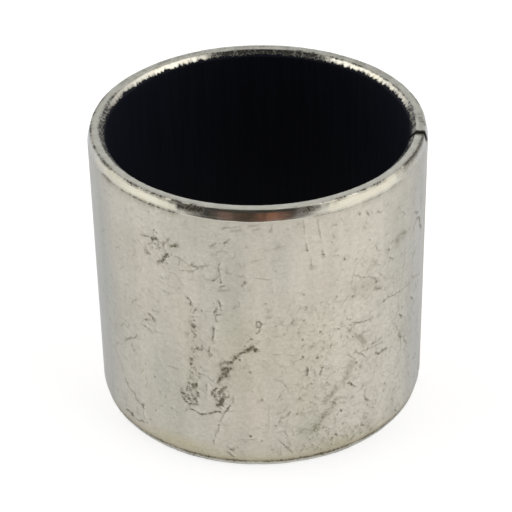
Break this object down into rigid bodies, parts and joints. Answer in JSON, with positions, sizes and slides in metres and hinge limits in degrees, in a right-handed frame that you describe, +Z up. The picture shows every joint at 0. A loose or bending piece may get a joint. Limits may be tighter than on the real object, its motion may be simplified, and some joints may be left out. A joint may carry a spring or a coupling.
{
  "type": "self-lubricating bushing",
  "caption": "Rolled plain bush: a plated steel tube with a straight butt joint, chamfered rims and a bonded black sliding layer that a shaft turns in without oil.",
  "frame": {"origin": "centre of the lower end, on the axis of the bore, on the plane that the bush stands on", "axes": "+Z up along the bore; +X towards the butt joint of the rolled strip"},
  "size_m": [0.028, 0.028, 0.025],
  "materials": {
    "plated_steel": "bright plated steel, scuffed and stained from rolling and storage",
    "sliding_layer": "matte black polymer and sintered metal sliding layer"
  },
  "bodies": {
    "root": {"steel_shell": "plated_steel", "sliding_liner": "sliding_layer"}
  },
  "joints": []
}
